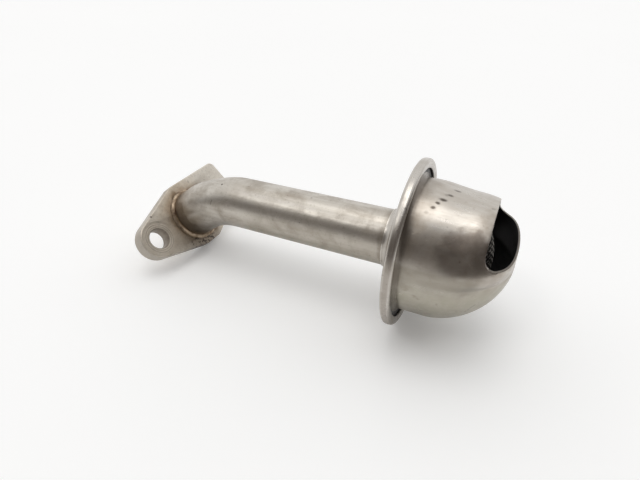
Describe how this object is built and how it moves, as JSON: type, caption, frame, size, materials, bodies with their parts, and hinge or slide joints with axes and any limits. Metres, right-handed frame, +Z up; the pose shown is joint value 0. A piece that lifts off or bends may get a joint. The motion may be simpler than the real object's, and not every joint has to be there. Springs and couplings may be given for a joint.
{
  "type": "oil pickup tube",
  "caption": "Engine oil pickup tube: a bolted flange, a bent steel tube and a round strainer with a notched bell over a domed wire screen.",
  "frame": {"origin": "centre of the part's bounding box at the surface it rests on", "axes": "+X along the tube from the flange to the closed end of the strainer bell, +Z up with the bell's mouth upwards, -Y towards the longer lug of the flange"},
  "size_m": [0.1572, 0.0644, 0.0637],
  "materials": {
    "flange_steel": "dull steel with a tan heat tint",
    "tube_steel": "satin stainless steel",
    "braze_metal": "heat-stained braze",
    "cover_steel": "satin pressed steel",
    "screen_wire": "dark woven steel wire",
    "bell_steel": "satin drawn steel with dark spots"
  },
  "bodies": {
    "root": {"mounting_flange": "flange_steel", "pickup_tube": "tube_steel", "flange_braze": "braze_metal", "strainer_cover": "cover_steel", "wire_screen": "screen_wire", "strainer_bell": "bell_steel"}
  },
  "joints": []
}
